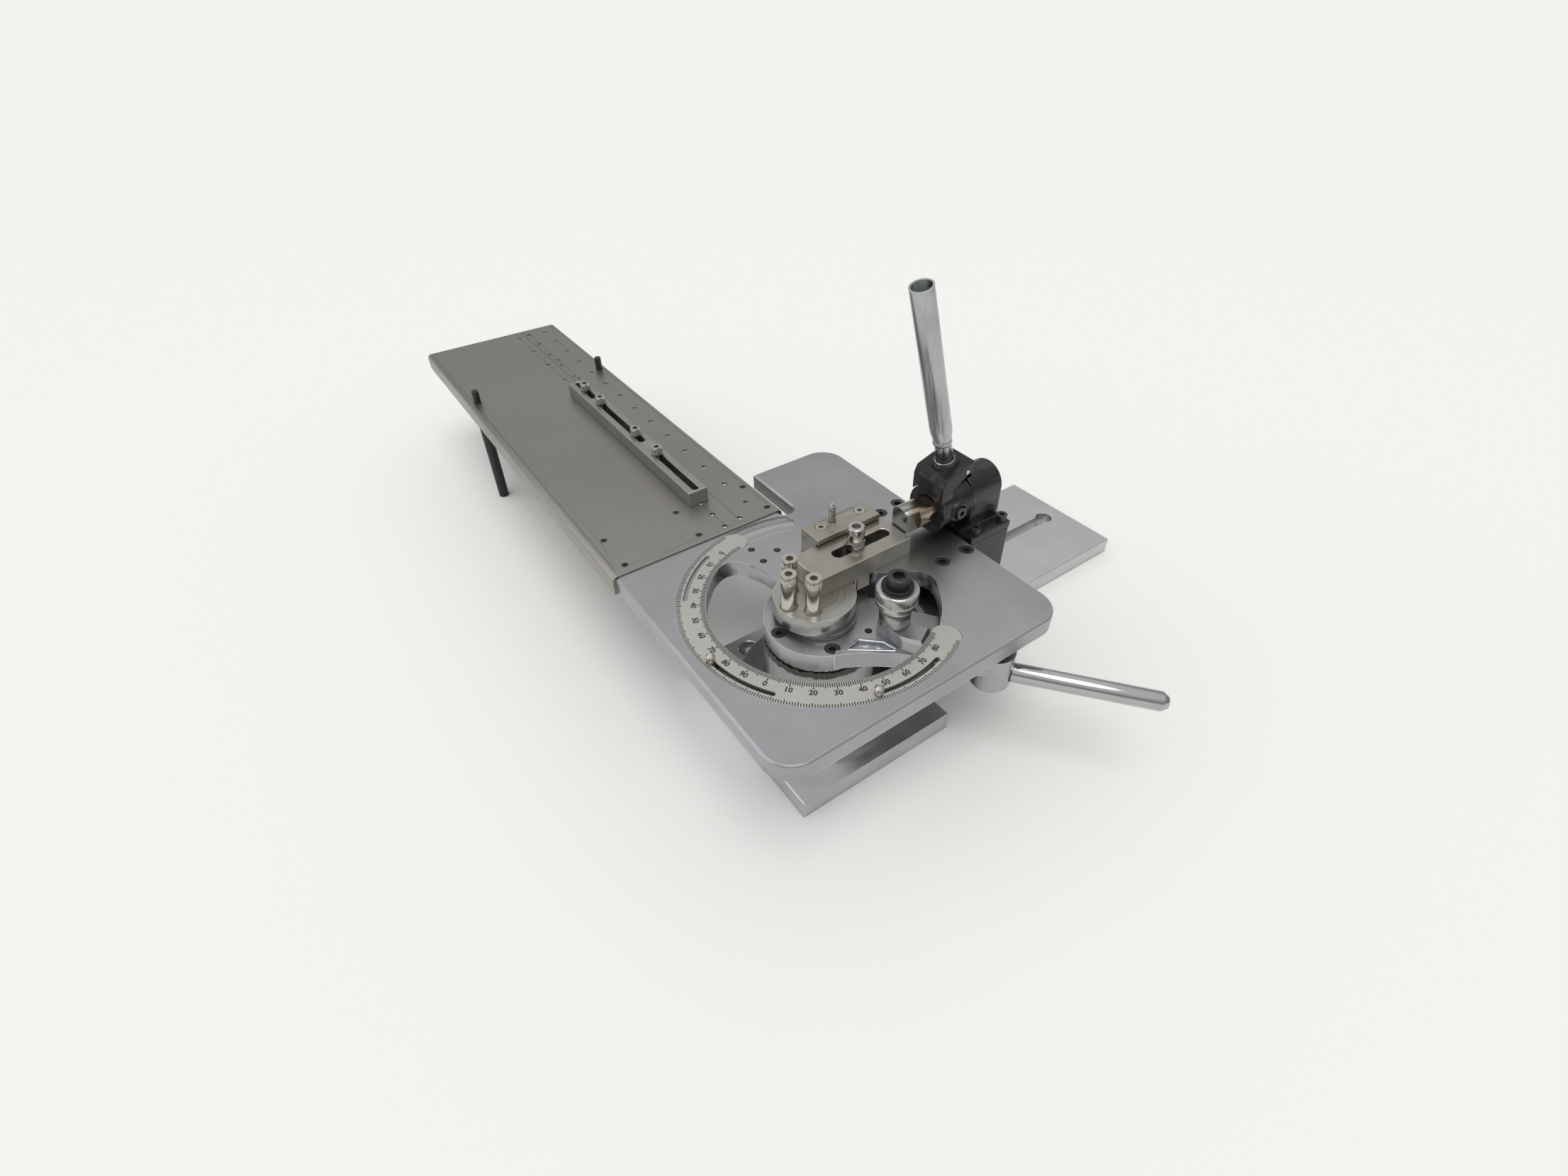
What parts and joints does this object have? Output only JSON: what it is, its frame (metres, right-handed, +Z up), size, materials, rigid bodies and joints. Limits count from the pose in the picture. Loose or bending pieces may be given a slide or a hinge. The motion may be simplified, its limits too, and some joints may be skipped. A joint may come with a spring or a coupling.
{
  "type": "scroll bender",
  "caption": "Bench scroll bender: swing arm with forming roller, round mandrel island with pins, dial ring, push-pull clamp and a ruled feed table with fence bar.",
  "frame": {"origin": "on the swing arm's vertical axis, at bench level", "axes": "+Z up, +Y along the feed table, +X along the base plate's side arm"},
  "size_m": [0.537, 0.9152, 0.3659],
  "materials": {
    "base_steel": "ground mild steel, slightly oily",
    "column_steel": "turned steel",
    "ground_steel": "surface ground steel with polishing marks",
    "dial_steel": "satin steel with engraved black scale",
    "tool_steel": "ground tool steel, warm grey",
    "bright_steel": "bright turned steel",
    "polished_rod": "polished round bar",
    "zinc_tube": "zinc plated tube",
    "black_oxide": "blackened steel",
    "black_screw": "black oxide screws",
    "black_cast": "gloss black painted casting",
    "cast_arm": "machined cast iron",
    "bronze_bush": "bearing bronze",
    "worn_plunger": "hardened steel, brown tint",
    "table_sheet": "grey rolled steel sheet"
  },
  "bodies": {
    "frame": {"base_plate": "base_steel", "pedestal": "column_steel", "pedestal_screws": "black_screw", "pivot_post": "black_oxide", "support_block": "black_oxide", "main_plate": "ground_steel", "plate_screws": "black_screw", "dial_ring": "dial_steel", "mandrel_sleeves": "bright_steel", "mandrel_screws": "bright_steel", "slider_screw": "bright_steel", "guide_block": "tool_steel", "keeper_cap": "tool_steel", "keeper_screws": "bright_steel", "locating_dowel": "bright_steel", "bearing_race_lower": "tool_steel", "index_quadrant": "bright_steel", "quadrant_screws": "black_screw", "clamp_body": "black_cast", "clamp_pivot_pin": "black_screw", "clamp_foot_screws": "black_screw", "table": "table_sheet", "table_screws": "black_screw", "fence_screws": "black_screw", "fence_nuts": "black_screw", "leg_left": "black_oxide", "leg_right": "black_oxide"},
    "arm": {"swing_arm": "cast_arm", "handle_rod": "polished_rod", "arm_screws": "black_screw", "hub_bush": "bronze_bush", "bearing_race_upper": "tool_steel", "roller_carriage": "cast_arm", "roller_post": "tool_steel", "roller_washer": "black_oxide", "roller_bolt": "black_screw", "latch_pin": "bright_steel"},
    "cage": {"bearing_cage": "bronze_bush", "bearing_balls": "bright_steel"},
    "roller": {"forming_roller": "bright_steel"},
    "pawl": {"latch_pawl": "tool_steel"},
    "slider": {"slider_bar": "tool_steel"},
    "lever": {"clamp_yoke": "black_cast", "clamp_tube_handle": "zinc_tube", "clamp_crank_pin": "bright_steel", "clamp_yoke_pin": "bright_steel"},
    "links": {"clamp_link_front": "tool_steel", "clamp_link_rear": "tool_steel"},
    "plunger": {"clamp_plunger": "worn_plunger", "clamp_tail_pin": "bright_steel"},
    "stop_left": {"stop_pin_left": "bright_steel"},
    "stop_right": {"stop_pin_right": "bright_steel"},
    "fence": {"fence_bar": "tool_steel"}
  },
  "joints": [
    {"name": "arm_swing", "type": "hinge", "parent": "frame", "child": "arm", "pos_m": [0, 0, 0.1], "axis": [0, 0, 1], "range_deg": [-150, 10]},
    {"name": "cage_turn", "type": "hinge", "parent": "frame", "child": "cage", "pos_m": [0, 0, 0.086], "axis": [0, 0, 1], "range_deg": [-75, 5]},
    {"name": "roller_spin", "type": "hinge", "parent": "arm", "child": "roller", "pos_m": [0.03646, -0.05162, 0.148], "axis": [0, 0, 1], "continuous": true},
    {"name": "pawl_swing", "type": "hinge", "parent": "arm", "child": "pawl", "pos_m": [0.05549, -0.04582, 0.089], "axis": [0, 0, 1], "range_deg": [0, 25], "stiffness_Nm_per_rad": 0.05, "springref_deg": -11.46},
    {"name": "slider_travel", "type": "slide", "parent": "frame", "child": "slider", "axis": [-1, 0, 0], "range_m": [0, 0.0025]},
    {"name": "lever_swing", "type": "hinge", "parent": "frame", "child": "lever", "pos_m": [0.15, 0.0156, 0.157], "axis": [0, 1, 0], "range_deg": [0, 33]},
    {"name": "link_swing", "type": "hinge", "parent": "lever", "child": "links", "pos_m": [0.153, 0.0156, 0.178], "axis": [0, -1, 0], "range_deg": [0, 41]},
    {"name": "plunger_slide", "type": "slide", "parent": "frame", "child": "plunger", "axis": [1, 0, 0], "range_m": [0, 0.0141]},
    {"name": "stop_left_slide", "type": "hinge", "parent": "frame", "child": "stop_left", "pos_m": [0, 0, 0.129], "axis": [0, 0, 1], "range_deg": [0, 30]},
    {"name": "stop_right_slide", "type": "hinge", "parent": "frame", "child": "stop_right", "pos_m": [0, 0, 0.129], "axis": [0, 0, 1], "range_deg": [0, 30]},
    {"name": "fence_slide", "type": "slide", "parent": "frame", "child": "fence", "axis": [0, 1, 0], "range_m": [0, 0.011]}
  ],
  "couplings": [
    {"joint": "cage_turn", "follows": "arm_swing", "ratio": 0.5},
    {"joint": "link_swing", "follows": "lever_swing", "ratio": 1.2364},
    {"joint": "plunger_slide", "follows": "lever_swing", "m_per_rad": 0.02431}
  ]
}
